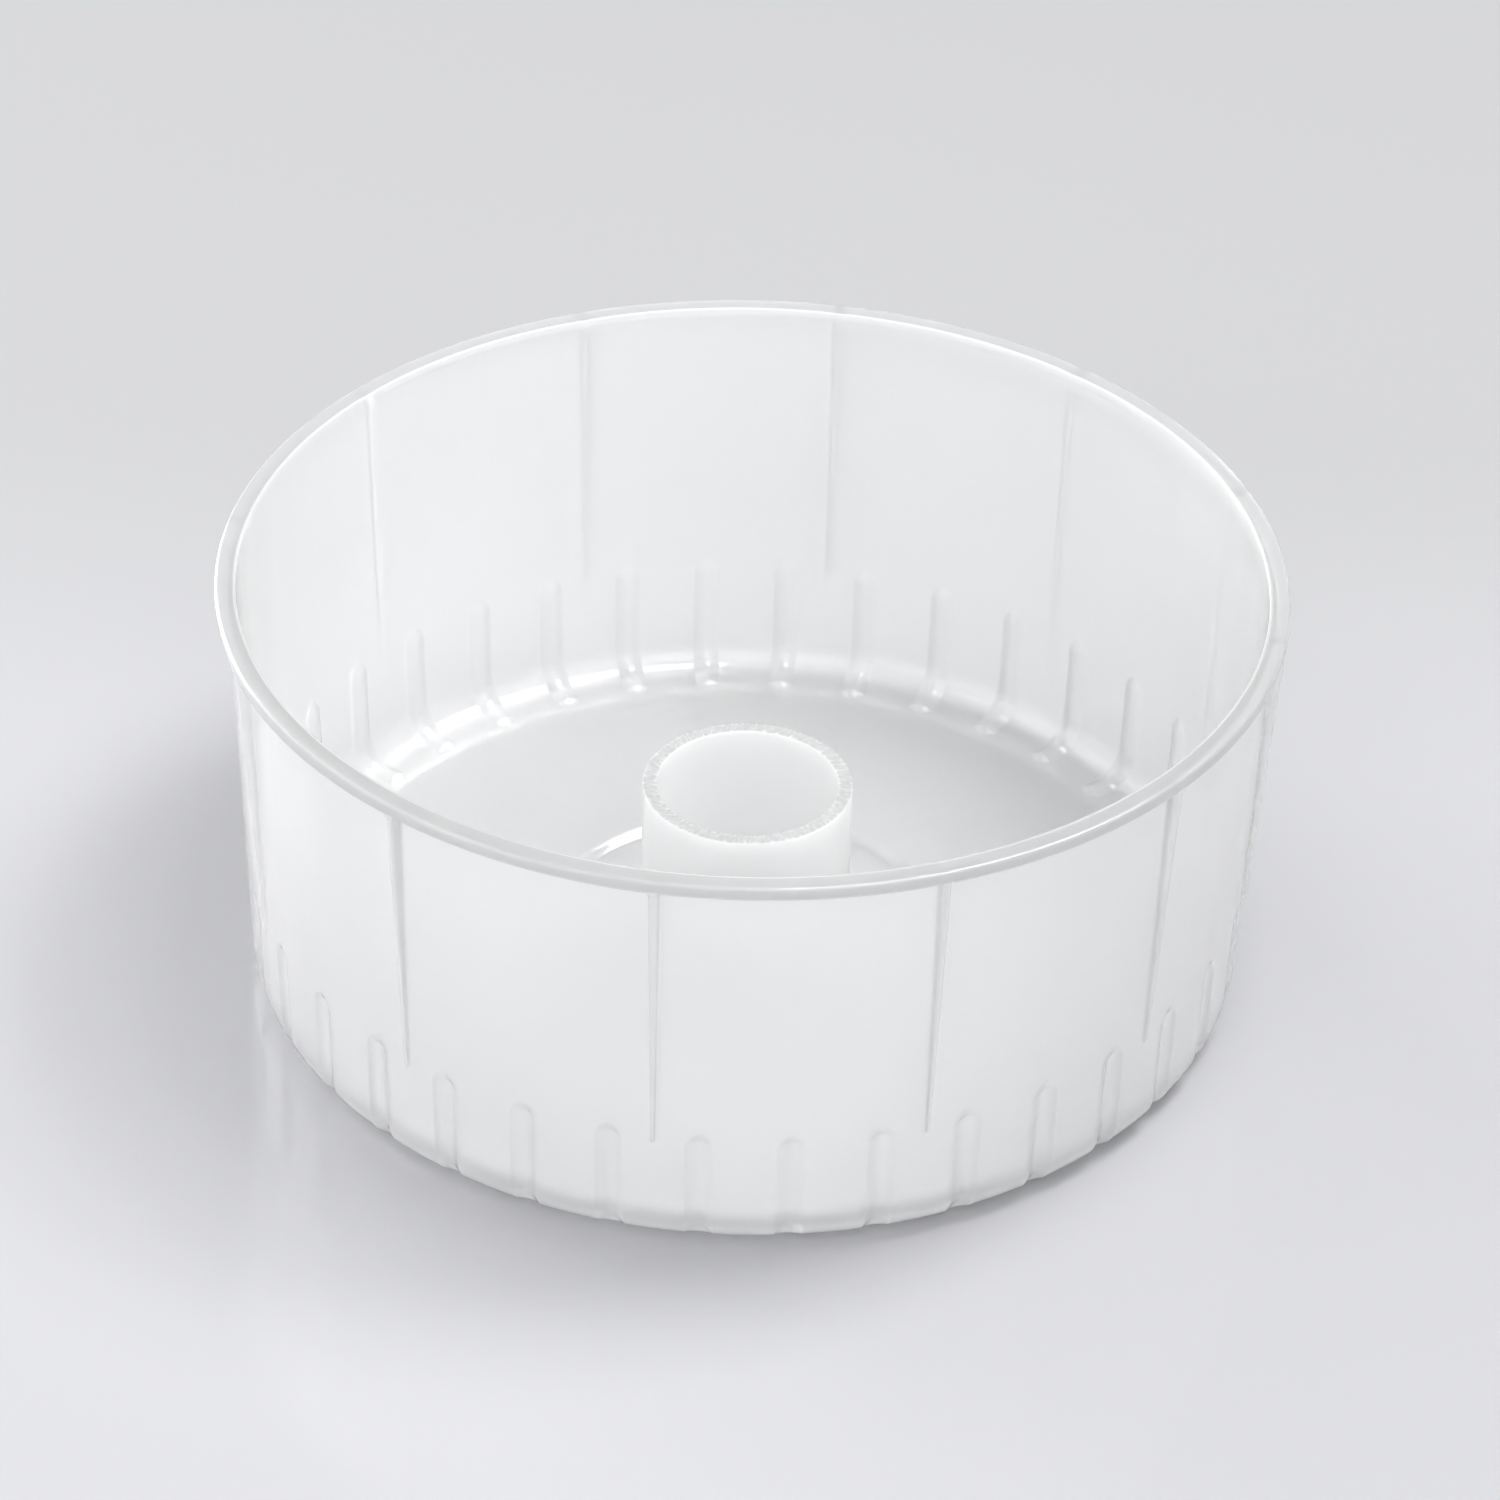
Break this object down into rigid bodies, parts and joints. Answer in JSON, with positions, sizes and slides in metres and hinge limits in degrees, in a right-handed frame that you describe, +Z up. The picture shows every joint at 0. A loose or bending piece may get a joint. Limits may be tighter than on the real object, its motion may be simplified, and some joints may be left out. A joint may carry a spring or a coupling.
{
  "type": "cheese mold",
  "caption": "Round translucent plastic cheese mold tub with a flat rim, outer fins, draining ridges round the foot and a loose upright centre tube for ring-shaped cheese.",
  "frame": {"origin": "centre of the round tub on the plane that it stands on", "axes": "+Z up along the tub's axis and the tube's axis, out of the open top; +X through a fin"},
  "size_m": [0.2, 0.2, 0.085],
  "materials": {
    "tub_plastic": "translucent natural polypropylene, satin gloss as moulded",
    "tube_plastic": "milky translucent polypropylene, fine sawn end"
  },
  "bodies": {
    "tub": {"mold_tub": "tub_plastic"},
    "tube": {"centre_tube": "tube_plastic"}
  },
  "joints": [
    {"name": "tube_lift", "type": "slide", "parent": "tub", "child": "tube", "axis": [0, 0, 1], "range_m": [0, 0.09]}
  ]
}
